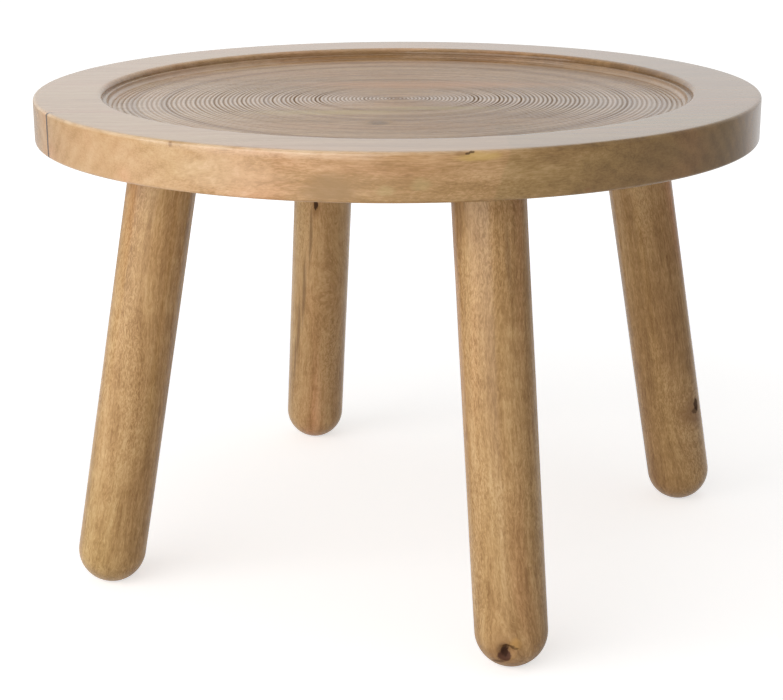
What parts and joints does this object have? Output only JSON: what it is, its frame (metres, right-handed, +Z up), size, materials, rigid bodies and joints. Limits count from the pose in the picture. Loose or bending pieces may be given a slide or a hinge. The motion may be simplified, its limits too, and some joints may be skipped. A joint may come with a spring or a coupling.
{
  "type": "side table",
  "caption": "Low round solid-wood side table: a thick dished top turned with fine concentric rings, standing on splayed round legs that screw into sockets in its underside.",
  "frame": {"origin": "on the floor, under the centre of the round top", "axes": "+Z up, +X along the boards of the top and to the right in the picture, -Y towards the front"},
  "size_m": [0.6, 0.6, 0.4],
  "materials": {
    "top_wood": "satin lacquer over pale brown mango wood",
    "leg_wood": "satin lacquer over honey brown mango wood",
    "bolt_steel": "zinc plated",
    "insert_brass": "plain machined"
  },
  "bodies": {
    "root": {"top_board_front_3": "top_wood", "top_board_front_2": "top_wood", "top_board_front_1": "top_wood", "top_board_back_1": "top_wood", "top_board_back_2": "top_wood", "top_board_back_3": "top_wood", "leg_front": "leg_wood", "leg_right": "leg_wood", "leg_back": "leg_wood", "leg_left": "leg_wood", "hanger_bolt_front": "bolt_steel", "hanger_bolt_right": "bolt_steel", "hanger_bolt_back": "bolt_steel", "hanger_bolt_left": "bolt_steel", "threaded_insert_front": "insert_brass", "threaded_insert_right": "insert_brass", "threaded_insert_back": "insert_brass", "threaded_insert_left": "insert_brass"}
  },
  "joints": []
}
